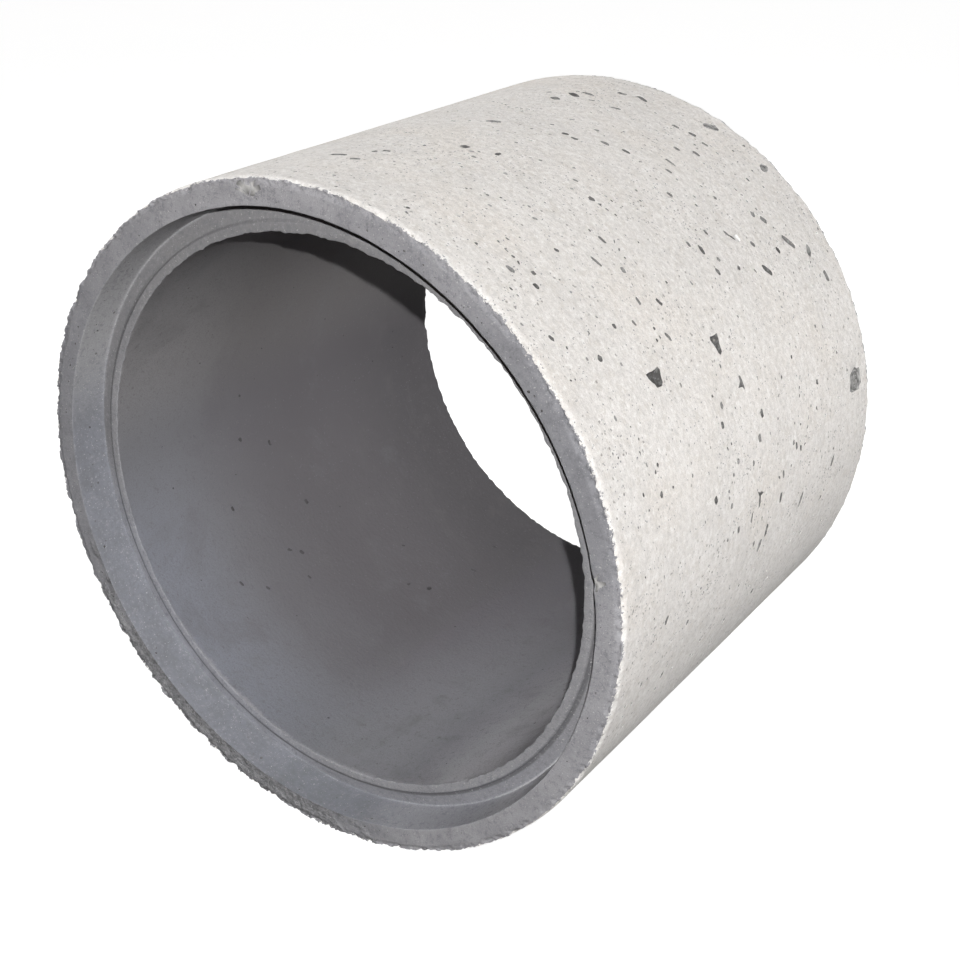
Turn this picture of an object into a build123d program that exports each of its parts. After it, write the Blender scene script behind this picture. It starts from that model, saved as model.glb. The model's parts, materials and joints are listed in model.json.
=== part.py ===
from build123d import *
import math
import os

# Precast concrete manhole ring, lying on its side on the ground.
# Millimetres. The axis runs along Y at the height of the outer radius, the socket
# end faces -Y and the spigot points to +Y. The origin is on the ground, below the
# middle of the overall length.

# barrel
BORE_RADIUS = 500.0
WALL = 100.0
BODY_LENGTH = 960.0

# socket, the rebated end that takes the spigot of the next ring: across the wall,
# from the bore outwards, it is a lip, a step, a sloping seat and a tapered side
LIP_WIDTH = 16.0
STEP_WIDTH = 4.0
SEAT_WIDTH = 29.0
SOCKET_TAPER = 5.0
SOCKET_DEPTH = 71.0
SEAT_RISE = 7.0
STEP_HEIGHT = 6.0

# gaps left in the joint when two rings are put together
SIDE_CLEARANCE = 6.0
FACE_GAP = 12.0
LIP_GAP = 4.0

# broken and rounded edges
RIM_OUTER_EDGE = 3.0
RIM_INNER_EDGE = 2.0
SHOULDER_EDGE = 3.0
SOCKET_CORNER_FILLET = 4.0
SPIGOT_ROOT_FILLET = 4.0
SPIGOT_TIP_WIDTH = 5.0
SPIGOT_TIP_LENGTH = 8.0
BORE_END_EDGE = 2.0

# derived radii, and distances along the axis from the face of the socket's rim
OUTER_RADIUS = BORE_RADIUS + WALL
LIP_RADIUS = BORE_RADIUS + LIP_WIDTH
SEAT_INNER_RADIUS = LIP_RADIUS + STEP_WIDTH
SOCKET_CORNER_RADIUS = SEAT_INNER_RADIUS + SEAT_WIDTH
SOCKET_MOUTH_RADIUS = SOCKET_CORNER_RADIUS + SOCKET_TAPER
SEAT_INNER_DEPTH = SOCKET_DEPTH - SEAT_RISE
LIP_DEPTH = SEAT_INNER_DEPTH - STEP_HEIGHT
LAYING_LENGTH = BODY_LENGTH + FACE_GAP
SPIGOT_ROOT_RADIUS = SOCKET_MOUTH_RADIUS - SIDE_CLEARANCE
SPIGOT_TIP_RADIUS = SOCKET_CORNER_RADIUS - SIDE_CLEARANCE
SPIGOT_INNER_END = LAYING_LENGTH + LIP_DEPTH - LIP_GAP
OVERALL_LENGTH = LAYING_LENGTH + SOCKET_DEPTH - LIP_GAP

# half section of the wall, as radius and distance from the rim's face
RIM_OUTER_CORNER = (OUTER_RADIUS, 0.0)
RIM_INNER_CORNER = (SOCKET_MOUTH_RADIUS, 0.0)
SOCKET_CORNER = (SOCKET_CORNER_RADIUS, SOCKET_DEPTH)
SHOULDER_CORNER = (OUTER_RADIUS, BODY_LENGTH)
SPIGOT_ROOT = (SPIGOT_ROOT_RADIUS, BODY_LENGTH)
BORE_END = (BORE_RADIUS, SPIGOT_INNER_END)
SECTION = [
    RIM_OUTER_CORNER,
    SHOULDER_CORNER,
    SPIGOT_ROOT,
    (SPIGOT_TIP_RADIUS, OVERALL_LENGTH - SPIGOT_TIP_LENGTH),
    (SPIGOT_TIP_RADIUS - SPIGOT_TIP_WIDTH, OVERALL_LENGTH),
    (LIP_RADIUS, SPIGOT_INNER_END),
    BORE_END,
    (BORE_RADIUS, LIP_DEPTH),
    (LIP_RADIUS, LIP_DEPTH),
    (SEAT_INNER_RADIUS, SEAT_INNER_DEPTH),
    SOCKET_CORNER,
    RIM_INNER_CORNER,
]

# the section lies in the level plane through the axis, its middle over the origin
section_plane = Plane(origin=(0, -OVERALL_LENGTH / 2, OUTER_RADIUS), x_dir=(1, 0, 0), z_dir=(0, 0, 1))
ring_axis = Axis((0, 0, OUTER_RADIUS), (0, 1, 0))

with BuildPart() as ring:
    with BuildSketch(section_plane) as section:
        with BuildLine():
            Polyline(*SECTION, close=True)
        make_face()
    revolve(axis=ring_axis)

    # edges, found on the solid by their radius and their place along the axis
    def edge(place):
        radius, along = place
        y = along - OVERALL_LENGTH / 2
        return ring.edges().filter_by(GeomType.CIRCLE).sort_by(
            lambda e: math.hypot(e.radius - radius, e.arc_center.Y - y)
        )[0:1]

    chamfer(edge(RIM_OUTER_CORNER), RIM_OUTER_EDGE)
    chamfer(edge(RIM_INNER_CORNER), RIM_INNER_EDGE)
    chamfer(edge(SHOULDER_CORNER), SHOULDER_EDGE)
    fillet(edge(SOCKET_CORNER), SOCKET_CORNER_FILLET)
    fillet(edge(SPIGOT_ROOT), SPIGOT_ROOT_FILLET)
    chamfer(edge(BORE_END), BORE_END_EDGE)

ring.part.label = "manhole_ring"
os.makedirs("parts", exist_ok=True)
export_step(ring.part, "parts/manhole_ring.step")
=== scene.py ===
import json
import math
import random

import bpy
import numpy as np
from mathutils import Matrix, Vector, noise
from mathutils.geometry import delaunay_2d_cdt


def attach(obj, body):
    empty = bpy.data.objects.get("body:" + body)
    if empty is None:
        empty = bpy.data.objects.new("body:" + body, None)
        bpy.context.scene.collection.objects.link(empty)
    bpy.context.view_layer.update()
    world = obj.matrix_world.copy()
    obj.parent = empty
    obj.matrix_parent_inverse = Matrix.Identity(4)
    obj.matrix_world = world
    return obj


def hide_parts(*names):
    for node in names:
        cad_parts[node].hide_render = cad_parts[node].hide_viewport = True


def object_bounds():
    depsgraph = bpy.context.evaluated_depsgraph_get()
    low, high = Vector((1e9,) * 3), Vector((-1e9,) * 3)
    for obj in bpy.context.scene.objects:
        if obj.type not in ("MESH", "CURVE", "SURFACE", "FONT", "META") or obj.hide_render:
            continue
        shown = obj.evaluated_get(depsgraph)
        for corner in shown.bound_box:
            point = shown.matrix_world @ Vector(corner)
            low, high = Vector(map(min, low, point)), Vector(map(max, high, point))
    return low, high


# Precast concrete manhole ring, lying on its side. Metres, in the frame of the CAD:
# the axis runs along Y, the socket's rim faces -Y and the spigot points to +Y.
# A place on the ring is given by its turn (0 at the top, growing towards +X) and by
# its distance along the axis from the face of the socket's rim.

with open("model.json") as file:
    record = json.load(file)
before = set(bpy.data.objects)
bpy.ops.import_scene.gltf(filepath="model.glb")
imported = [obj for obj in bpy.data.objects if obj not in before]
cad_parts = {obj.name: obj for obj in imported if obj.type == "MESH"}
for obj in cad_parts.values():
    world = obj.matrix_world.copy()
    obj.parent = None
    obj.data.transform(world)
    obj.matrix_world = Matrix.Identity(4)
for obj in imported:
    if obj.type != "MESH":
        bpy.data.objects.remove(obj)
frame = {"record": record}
cad_low, cad_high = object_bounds()

NODE = "manhole_ring"
SEED = 7

# the section of the wall, read from the frame's box and mounts
MM = 0.001
MOUNTS = {mount["name"]: mount for mount in frame["record"]["mounts"]}
OUTER_RADIUS = cad_high.x
BORE_RADIUS = MOUNTS["shaft_bore"]["dims"]["r_mm"] * MM
SOCKET_MOUTH_RADIUS = MOUNTS["socket"]["dims"]["r_mm"] * MM
SOCKET_DEPTH = MOUNTS["socket"]["dims"]["length_mm"] * MM
SPIGOT_ROOT_RADIUS = MOUNTS["spigot"]["dims"]["r_mm"] * MM
RIM_Y = MOUNTS["socket_rim"]["pos_m"][1]
BODY_LENGTH = MOUNTS["shoulder"]["pos_m"][1] - RIM_Y
OVERALL_LENGTH = cad_high.y - cad_low.y
AXIS_Z = MOUNTS["shaft_bore"]["pos_m"][2]

# the joint's small steps, as in the CAD section
LIP_RADIUS = 0.516
LIP_DEPTH = 0.058
SEAT_INNER_RADIUS = 0.52
SEAT_INNER_DEPTH = 0.064
SOCKET_CORNER_RADIUS = 0.549
SPIGOT_TIP_RADIUS = 0.543
SPIGOT_NOSE_RADIUS = 0.538
SPIGOT_NOSE_LENGTH = 0.008
SPIGOT_INNER_END = 1.026
BORE_MIDDLE = 0.5 * (LIP_DEPTH + SPIGOT_INNER_END)

# broken and rounded edges
RIM_OUTER_ROUND = 0.0045
SHOULDER_ROUND = 0.0045
SMALL_ROUND = 0.002
STEP_ROUND = 0.003
STEP_LINE_SHIFT = 0.0015
CORNER_ROUND = 0.0015
ROUND_STEPS = 2


def rotated(vector, angle):
    """A vector of the section turned by an angle."""
    (x, y), c, s = vector, math.cos(angle), math.sin(angle)
    return np.array([x * c - y * s, x * s + y * c])


class Section:
    """The closed outline of the wall, with s the length run along it from the middle of the bore."""

    def __init__(self):
        bore_middle = (BORE_RADIUS, BORE_MIDDLE)
        corners = [
            ("start", bore_middle, 0.0),
            ("lip_edge", (BORE_RADIUS, LIP_DEPTH), SMALL_ROUND),
            ("lip_outer", (LIP_RADIUS, LIP_DEPTH), STEP_ROUND),
            ("seat_inner", (SEAT_INNER_RADIUS, SEAT_INNER_DEPTH), STEP_ROUND),
            ("socket_corner", (SOCKET_CORNER_RADIUS, SOCKET_DEPTH), CORNER_ROUND),
            ("rim_inner", (SOCKET_MOUTH_RADIUS, 0.0), SMALL_ROUND),
            ("rim_outer", (OUTER_RADIUS, 0.0), RIM_OUTER_ROUND),
            ("shoulder", (OUTER_RADIUS, BODY_LENGTH), SHOULDER_ROUND),
            ("spigot_root", (SPIGOT_ROOT_RADIUS, BODY_LENGTH), CORNER_ROUND),
            ("spigot_side_end", (SPIGOT_TIP_RADIUS, OVERALL_LENGTH - SPIGOT_NOSE_LENGTH), SMALL_ROUND),
            ("spigot_nose", (SPIGOT_NOSE_RADIUS, OVERALL_LENGTH), SMALL_ROUND),
            ("spigot_lip", (LIP_RADIUS, SPIGOT_INNER_END), SMALL_ROUND),
            ("bore_end", (BORE_RADIUS, SPIGOT_INNER_END), SMALL_ROUND),
            ("end", bore_middle, 0.0),
        ]
        places = [np.array(place) for _, place, _ in corners]
        points, normals, runs = [], [], {}
        run = 0.0
        for i, (name, place, radius) in enumerate(corners):
            for point, normal in self.turn(places, i, radius):
                if points:
                    run += float(np.linalg.norm(point - points[-1]))
                points.append(point)
                normals.append(normal)
                runs.setdefault(name, []).append(run)
        self.points = np.array(points)
        self.normals = np.array(normals)
        steps = np.linalg.norm(np.diff(self.points, axis=0), axis=1)
        self.s = np.concatenate([[0.0], np.cumsum(steps)])
        self.length = float(self.s[-1])
        self.station = {name: 0.5 * (run[0] + run[-1]) for name, run in runs.items()}

    @staticmethod
    def turn(places, i, radius):
        """The points and outward normals that round off corner i."""
        here = places[i]
        if radius == 0.0:
            ahead = places[1] - places[0]
            ahead = ahead / np.linalg.norm(ahead)
            return [(here, np.array([ahead[1], -ahead[0]]))]
        into = here - places[i - 1]
        out = places[i + 1] - here
        into, out = into / np.linalg.norm(into), out / np.linalg.norm(out)
        angle = math.atan2(into[0] * out[1] - into[1] * out[0], float(into @ out))
        cut = radius * math.tan(abs(angle) / 2)
        side = 1.0 if angle > 0 else -1.0
        left = np.array([-into[1], into[0]]) * side
        centre = here - into * cut + left * radius
        result = []
        for k in range(ROUND_STEPS + 1):
            part = angle * k / ROUND_STEPS
            ahead = rotated(into, part)
            result.append((centre + rotated(-left, part) * radius, np.array([ahead[1], -ahead[0]])))
        return result

    def at(self, s):
        """Radius, distance and outward normal at each s."""
        radius = np.interp(s, self.s, self.points[:, 0])
        along = np.interp(s, self.s, self.points[:, 1])
        across = np.interp(s, self.s, self.normals[:, 0])
        forward = np.interp(s, self.s, self.normals[:, 1])
        size = np.hypot(across, forward)
        return radius, along, across / size, forward / size


SECTION = Section()
AT = SECTION.station
UNROLL_RADIUS = 0.55
HALF_TURN = math.pi * UNROLL_RADIUS


def wall_s(distance):
    """s of a place on the outer wall, from its distance to the rim's face."""
    share = distance / BODY_LENGTH
    return AT["rim_outer"] + share * (AT["shoulder"] - AT["rim_outer"])


def bore_s(distance):
    """s of a place on the bore, from its distance to the rim's face."""
    return (BORE_MIDDLE - distance) % SECTION.length


# how far apart the points of a row are, on edges, in the joint and on the open walls
RIM_COLUMN_GAP = 0.0034
EDGE_COLUMN_GAP = 0.0048
FAR_EDGE_COLUMN_GAP = 0.0054
JOINT_COLUMN_GAP = 0.0082
SPIGOT_COLUMN_GAP = 0.0095
FACE_GAP = 0.009
RIM_FACE_GAP = 0.85 * FACE_GAP
FAR_FACE_GAP = 1.2 * FACE_GAP
SPIGOT_ROOT_COLUMN_GAP = 1.4 * FACE_GAP
OPEN_GAP = 0.0202
FIELD_WOBBLE = 0.22
FEWEST_COLUMNS = 8
# how far apart the rows are, and how far they reach to either side of a corner
EDGE_BAND = 0.01
EDGE_ROW_GAP = 0.0022
LIP_BAND = 0.008
LIP_ROW_GAP = 0.002
CORNER_BAND = 0.006
JOINT_ROW_GAP = 0.004
MOUTH_BAND = 0.005
MOUTH_ROW_GAP = 0.0025
END_BAND = 0.008
END_ROW_GAP = 0.005
SAME_ROW = 1e-5
# beyond a corner the rows spread out, up to the gap of the open walls
SPREAD_REACH = 0.08
SPREAD_START = 0.003
END_SPREAD_START = 0.004
SPREAD_GROWTH = 1.5
SPREAD_COLUMNS = 1.6
# the lower left of the rim, where its face is rough and dark, and how much wider its rows are
ROUGH_TURN = math.radians(209)
ROUGH_WIDTH = 0.021
ROUGH_SPREAD = 1.3
RIM_EDGE_REACH = 0.012


def row(s, gap):
    """Evenly spaced points on one row, with one at each side of the seam."""
    count = max(FEWEST_COLUMNS, round(2 * HALF_TURN / gap))
    u = np.linspace(-HALF_TURN, HALF_TURN, count + 1)
    return np.stack([u, np.full_like(u, s)], axis=1)


def field(s_from, s_to, gap, rng):
    """Loosely scattered points over an open stretch, with fixed ones on the seam."""
    count = max(1, round((s_to - s_from) / gap))
    step = (s_to - s_from) / count
    columns = round(2 * HALF_TURN / gap)
    width = 2 * HALF_TURN / columns
    parts = []
    for k in range(1, count):
        s = s_from + k * step
        shift = 0.5 * width * (k % 2)
        u = -HALF_TURN + width * np.arange(1, columns) + shift
        u = u[u < HALF_TURN - 0.5 * width]
        wobble = rng.uniform(-FIELD_WOBBLE, FIELD_WOBBLE, (len(u), 2)) * [width, step]
        parts.append(np.stack([u, np.full_like(u, s)], axis=1) + wobble)
        parts.append(np.array([[-HALF_TURN, s], [HALF_TURN, s]]))
    return np.concatenate(parts)


def graded_rows(s_edge, direction, start_gap):
    """Rows that spread out, away from an edge band, and the last row's s."""
    rows, s, gap = [], s_edge, start_gap
    while gap < OPEN_GAP and abs(s - s_edge) + gap < SPREAD_REACH:
        s += direction * gap
        rows.append(row(s, min(OPEN_GAP, gap * SPREAD_COLUMNS)))
        gap *= SPREAD_GROWTH
    return rows, s


def edge_rows(name, gap_columns, band=EDGE_BAND, row_gap=EDGE_ROW_GAP):
    """Close rows either side of a corner, with one on each point of its rounding."""
    centre = AT[name]
    inside = SECTION.s[np.abs(SECTION.s - centre) < band]
    places = list(inside)
    for direction, start in ((-1, inside.min()), (1, inside.max())):
        reach = band - abs(start - centre)
        places += [start + direction * k * row_gap for k in range(1, int(reach / row_gap) + 1)]
    return [row(s, gap_columns) for s in places], min(places), max(places)


def joint_rows(s_from, s_to, row_gap, column_gap):
    """Rows over a stretch with small steps in it: one on each corner point and more between."""
    stops = [s_from] + [s for s in SECTION.s if s_from + SAME_ROW < s < s_to - SAME_ROW] + [s_to]
    places = []
    for a, b in zip(stops, stops[1:]):
        count = max(1, round((b - a) / row_gap))
        places += [a + (b - a) * k / count for k in range(count)]
    return [row(s, column_gap) for s in places + [s_to]]


def base_points(rng):
    """The mesh's points over the whole unrolled surface, before any void is let in."""
    corner, mouth, root, nose, end = (
        AT[name] for name in ("socket_corner", "rim_inner", "spigot_root", "spigot_side_end", "bore_end"))
    parts = [row(0.0, OPEN_GAP), row(SECTION.length, OPEN_GAP)]
    lip, lip_from, lip_to = edge_rows("lip_edge", EDGE_COLUMN_GAP, LIP_BAND, LIP_ROW_GAP)
    rim, rim_from, rim_to = edge_rows("rim_outer", RIM_COLUMN_GAP, RIM_EDGE_REACH)
    while rim_from > AT["rim_outer"] - ROUGH_WIDTH:
        rim_from -= ROUGH_SPREAD * EDGE_ROW_GAP
        rim.append(row(rim_from, ROUGH_SPREAD * RIM_COLUMN_GAP))
    far, far_from, far_to = edge_rows("shoulder", FAR_EDGE_COLUMN_GAP)
    parts += lip + rim + far
    # bore, from its middle to the lip
    rows, s = graded_rows(lip_from, -1, SPREAD_START)
    parts += rows + [field(0.0, s, OPEN_GAP, rng)]
    # lip, step, seat, socket side and the face of the rim
    parts += joint_rows(lip_to + LIP_ROW_GAP, corner + CORNER_BAND, JOINT_ROW_GAP, JOINT_COLUMN_GAP)
    parts.append(field(corner + CORNER_BAND, mouth - MOUTH_BAND, FACE_GAP, rng))
    parts += joint_rows(mouth - MOUTH_BAND, mouth + MOUTH_BAND, MOUTH_ROW_GAP, JOINT_COLUMN_GAP)
    parts.append(field(mouth + MOUTH_BAND, rim_from, RIM_FACE_GAP, rng))
    # outer wall
    near_rows, near_s = graded_rows(rim_to, 1, SPREAD_START)
    far_rows, far_s = graded_rows(far_from, -1, SPREAD_START)
    parts += near_rows + far_rows + [field(near_s, far_s, OPEN_GAP, rng)]
    # shoulder, spigot and the far end of the bore, back to its middle
    parts.append(field(far_to, root - CORNER_BAND, FAR_FACE_GAP, rng))
    parts += joint_rows(root - CORNER_BAND, root + CORNER_BAND, JOINT_ROW_GAP, SPIGOT_ROOT_COLUMN_GAP)
    parts.append(field(root + CORNER_BAND, nose - CORNER_BAND, FAR_FACE_GAP, rng))
    parts += joint_rows(nose - CORNER_BAND, end + END_BAND, END_ROW_GAP, SPIGOT_COLUMN_GAP)
    rows, s = graded_rows(end + END_BAND, 1, END_SPREAD_START)
    parts += rows + [field(s, SECTION.length, OPEN_GAP, rng)]
    return np.concatenate(parts)


# the larger voids that show on the outer wall: turn in degrees, distance, length and
# width in millimetres, and how far the long side leans from the axis, in degrees
WALL_VOIDS = [
    (8, 347, 16, 12, 20), (13, 366, 15, 7, 0), (3, 508, 22, 14, 60), (2, 730, 26, 13, -50),
    (3, 777, 30, 12, -53), (4.5, 804, 24, 10, -70), (8.4, 861, 18, 12, 90), (12.2, 869, 26, 9, -57),
    (44.7, 550, 15, 8, 90), (49, 553, 12, 8, 60), (44.3, 649, 14, 5, 60), (45.4, 657, 13, 4, 50),
    (53, 699, 26, 10, 42), (48, 703, 12, 9, 60), (45.3, 786, 16, 9, 54), (51, 769, 12, 8, 70),
    (50.6, 818, 33, 11, 53), (53.7, 868, 22, 10, -54), (59.2, 886, 18, 11, 90), (95, 486, 22, 9, -60),
    (93, 509, 20, 9, -70), (89, 559, 18, 8, -75), (93, 655, 26, 9, -60), (91, 792, 20, 9, -60),
    (72.5, 508, 13, 9, 90), (76, 486, 13, 9, 80), (67.2, 388, 10, 8, 70), (70, 374, 9, 9, 0),
    (34, 593, 12, 8, 80), (30, 654, 12, 6, 70), (19.5, 602, 17, 8, 82), (23, 618, 15, 8, 72),
    (14, 561, 12, 8, 60), (16, 559, 12, 8, 70), (22, 819, 13, 9, 80), (25, 830, 15, 10, 70),
    (28, 828, 11, 7, 80), (12, 769, 18, 8, 60), (34, 99, 14, 8, 80), (38, 116, 11, 8, 80),
    (36, 134, 8, 7, 0), (-4, 176, 26, 12, 80), (0, 163, 17, 9, 70), (1, 232, 14, 9, 70),
    (46.9, 304, 13, 6, 90), (53.7, 323, 15, 6, 59), (48.6, 352, 15, 6, 60), (36, 336, 15, 6, 86),
    (38.6, 280, 20, 6, 74), (80, 312, 12, 9, 80), (88, 389, 10, 8, 80), (73, 152, 8, 8, 0),
    (93, 144, 14, 8, -60), (82, 623, 13, 7, 80), (83, 640, 11, 6, 80), (81, 612, 8, 7, 0),
    (28.6, 684, 20, 6, 84), (29, 775, 14, 8, 84), (26.5, 742, 12, 7, 84), (42.5, 596, 10, 6, 80),
    (86, 470, 26, 7, -80), (88, 440, 16, 6, -70), (85, 566, 12, 6, 80), (66, 470, 22, 6, 84),
]
# two large ones with three corners and a shallow dent with clean white sides: the same, then
# depth in metres, points of the outline, tone and corners
SHAPED_VOIDS = [
    (57.8, 242, 44, 33, 0, 0.009, 14, 0.0, 3), (58.5, 442, 28, 38, 0, 0.009, 14, 0.0, 3),
    (45.9, 669, 15, 16, 0, 0.003, 9, 1.0, 0),
]
# rough places where the pale skin has come off, with the same numbers
WALL_SCARS = [(79, 897, 58, 46, 0), (25, 905, 34, 22, 30), (37, 918, 26, 18, -20)]
# shallow pits and scuffs in the bore
BORE_PITS = [
    (246, 298, 12, 7, 80), (231, 385, 12, 7, 40), (223, 388, 12, 6, 80), (226, 282, 12, 6, 60),
    (230, 232, 16, 6, 70), (208, 586, 10, 7, 0),
    (201, 752, 16, 8, 70), (204, 618, 13, 8, 20), (260, 372, 12, 8, 60), (256, 450, 14, 8, 80),
    (239, 490, 14, 9, 70), (229, 410, 13, 8, 60), (217, 657, 10, 6, 30), (203, 859, 13, 7, 70),
]
# pale scuffs on the face of the rim: turn, radius, length and width in millimetres, and lean
FACE_SCUFFS = [(351.1, 582, 20, 3.0, 38), (353.4, 582, 20, 3.0, -33), (80.9, 562, 20, 3.5, 50)]

# how many voids are scattered at random, and how clear of each other all of them stay
SMALL_VOIDS = 1120
MIDDLE_VOIDS = 290
VOID_STRINGS = 34
BORE_VOIDS = 120
FACE_VOIDS = 80
VOID_CLEARANCE = 0.0012
CLEARANCE_SHARE = 1.15
LOOK_ROUND = 0.06
# the form of a void: its blunt ends, and how uneven its outline and its floor are
BLUNTNESS = 0.72
SPOKES = (0.8, 1.12)
FLOOR = (0.75, 1.1)
CORNER_SPOKE = 0.84
CORNER_SWING = 0.22
CORNER_WOBBLE = (-0.08, 0.08)
# the chosen ones are drawn a little larger than measured, since their rims are blunt
CHOSEN_GROWTH = 1.12
CHOSEN_WIDENING = 1.25
DEEPEST = 0.009
DEPTH_SHARE = 0.42
PIT_DEPTH = 0.0022
SCUFF_DEPTH = 0.0008
SCAR_DEPTH = 0.0025
DEPTH_SPREAD = (0.9, 1.2)
CHOSEN_PALEST, PIT_TONE, SCUFF_TONE = 0.15, 0.1, 0.7
# the points of their outlines
CHOSEN_SIDES, PIT_SIDES, SCUFF_SIDES, SCAR_SIDES = 11, 9, 7, 16


class Void:
    """A hole left by an air bubble: an uneven outline on the unrolled surface, and a depth."""

    def __init__(self, u, s, length, width, lean, depth, sides, rnd, tone=0.0, corners=0):
        self.u, self.s = u, s
        self.tone = tone
        self.reach = 0.5 * max(length, width)
        self.length, self.width, self.lean = length, width, lean
        self.depth, self.sides = depth, sides
        self.spokes = [rnd.uniform(*SPOKES) for _ in range(sides)]
        self.start = rnd.uniform(0, math.tau)
        self.floor = [rnd.uniform(*FLOOR) for _ in range(sides)]
        for k in range(sides if corners else 0):
            a = self.start + math.tau * k / sides
            swing = CORNER_SWING * math.cos(corners * (a - math.pi / 2))
            self.spokes[k] = CORNER_SPOKE + swing + rnd.uniform(*CORNER_WOBBLE)

    def ring(self, scale, every=1):
        """Points of the outline, drawn in to scale."""
        points = []
        for k in range(0, self.sides, every):
            a = self.start + math.tau * k / self.sides
            reach = 0.5 * self.spokes[k] * scale
            along = reach * self.length * math.copysign(abs(math.cos(a)) ** BLUNTNESS, math.cos(a))
            across = reach * self.width * math.copysign(abs(math.sin(a)) ** BLUNTNESS, math.sin(a))
            u = self.u + along * math.sin(self.lean) + across * math.cos(self.lean)
            s = self.s + along * math.cos(self.lean) - across * math.sin(self.lean)
            points.append((u, s))
        return points


def placed(turn, s, length, width, lean, depth, sides, rnd, tone=0.0, corners=0):
    """A void given as the tables do: its turn and lean in degrees, its length and width in mm."""
    u = math.radians((turn + 180.0) % 360.0 - 180.0) * UNROLL_RADIUS
    return Void(u, s, length * MM, width * MM, math.radians(lean), depth, sides, rnd, tone, corners)


def chosen_voids(rnd):
    """The voids of the outer wall that the photograph shows, and its pale dents."""
    voids = []
    stretch = UNROLL_RADIUS / OUTER_RADIUS
    for turn, distance, length, width, lean in WALL_VOIDS:
        depth = min(DEEPEST, DEPTH_SHARE * width * MM) * rnd.uniform(*DEPTH_SPREAD)
        tone = rnd.uniform(0.0, CHOSEN_PALEST)
        width *= CHOSEN_WIDENING * CHOSEN_GROWTH * stretch
        voids.append(placed(turn, wall_s(distance * MM), length * CHOSEN_GROWTH, width,
                            lean, depth, CHOSEN_SIDES, rnd, tone))
    for turn, distance, length, width, lean, depth, sides, tone, corners in SHAPED_VOIDS:
        voids.append(placed(turn, wall_s(distance * MM), length, width * stretch,
                            lean, depth, sides, rnd, tone, corners))
    return voids


def chosen_pits(rnd):
    """The pits of the bore and the scuffs of the rim's face that show from the front."""
    pits = [placed(turn, bore_s(distance * MM), length, width, lean,
                   PIT_DEPTH, PIT_SIDES, rnd, PIT_TONE)
            for turn, distance, length, width, lean in BORE_PITS]
    face = AT["rim_inner"] - SOCKET_MOUTH_RADIUS
    return pits + [placed(turn, face + radius * MM, length, width, lean,
                          SCUFF_DEPTH, SCUFF_SIDES, rnd, SCUFF_TONE)
                   for turn, radius, length, width, lean in FACE_SCUFFS]


def clear_of(voids, u, s, reach):
    """Whether a place stays clear of all the voids given."""
    for other in voids:
        if abs(other.s - s) < LOOK_ROUND and abs(other.u - u) < LOOK_ROUND:
            gap = math.hypot(other.u - u, other.s - s)
            if gap < CLEARANCE_SHARE * (other.reach + reach) + VOID_CLEARANCE:
                return False
    return True


# scattered voids: the noises that gather them, by share, scale and seed, and the spread of their forms
CLUSTERS = ((1.0, 7.0, 3.1), (0.6, 22.0, 8.4))
CHOOSINESS = (-0.75, 0.55)
MOSTLY_SMALL = 2.2
WIDTH_SHARE = (0.6, 1.0)
DEPTH_SHARES = (0.35, 0.6)
LEAN_MEAN, LEAN_SPREAD = 1.3, 0.6
LARGE_ARE_DARKER = 0.6
SEAM_MARGIN = 0.995
TRIES_EACH = 40


def scattered_voids(voids, count, stretch, sizes, sides, rnd, scars, palest):
    """Adds voids at random, gathered in loose clusters by a slow noise and longest round the ring."""
    made, tries = 0, 0
    smallest, largest = sizes
    while made < count and tries < TRIES_EACH * count:
        tries += 1
        u = rnd.uniform(-HALF_TURN, HALF_TURN) * SEAM_MARGIN
        s = rnd.uniform(*stretch)
        crowd = sum(share * noise.noise(Vector((u * scale, s * scale, seed)))
                    for share, scale, seed in CLUSTERS)
        if crowd < rnd.uniform(*CHOOSINESS):
            continue
        size = smallest + (largest - smallest) * rnd.random() ** MOSTLY_SMALL
        width = size * rnd.uniform(*WIDTH_SHARE)
        reach = 0.5 * size
        if not clear_of(voids, u, s, reach) or not clear_of(scars, u, s, reach):
            continue
        lean = rnd.gauss(LEAN_MEAN, LEAN_SPREAD)
        tone = rnd.uniform(0.0, palest)
        tone *= 1.0 - LARGE_ARE_DARKER * (size - smallest) / (largest - smallest)
        voids.append(Void(u, s, size, width, lean, size * rnd.uniform(*DEPTH_SHARES), sides, rnd, tone))
        made += 1


# strings of small voids: where they may start, their heading in degrees, and their voids in metres
STRING_MARGIN = 0.05
STRING_HEADING, STRING_SWAY = 90, 16
STRING_COUNT = (3, 7)
STRING_LENGTHS = (0.005, 0.01)
STRING_WIDTHS = (0.0032, 0.0055)
STRING_STEPS = (0.01, 0.02)
STRING_DRIFT = 0.0025
STRING_LEAN_SPREAD = 0.3
STRING_SIDES, STRING_PALEST = 7, 0.3
STRING_SEAM_MARGIN = 0.98


def strings_of_voids(voids, stretch, rnd, scars):
    """Short rows of small voids one after the other, mostly round the ring."""
    s_from, s_to = stretch
    for _ in range(VOID_STRINGS):
        u = rnd.uniform(-HALF_TURN, HALF_TURN)
        s = rnd.uniform(s_from + STRING_MARGIN, s_to - STRING_MARGIN)
        heading = math.radians(STRING_HEADING + rnd.gauss(0, STRING_SWAY))
        for _ in range(rnd.randint(*STRING_COUNT)):
            length, width = rnd.uniform(*STRING_LENGTHS), rnd.uniform(*STRING_WIDTHS)
            if abs(u) < STRING_SEAM_MARGIN * HALF_TURN and clear_of(voids + scars, u, s, 0.5 * length):
                lean = heading + rnd.gauss(0, STRING_LEAN_SPREAD)
                voids.append(Void(u, s, length, width, lean, 0.5 * width, STRING_SIDES, rnd,
                                  rnd.uniform(0.0, STRING_PALEST)))
            step = rnd.uniform(*STRING_STEPS)
            u += step * math.sin(heading)
            s += step * math.cos(heading) + rnd.gauss(0, STRING_DRIFT)


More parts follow.
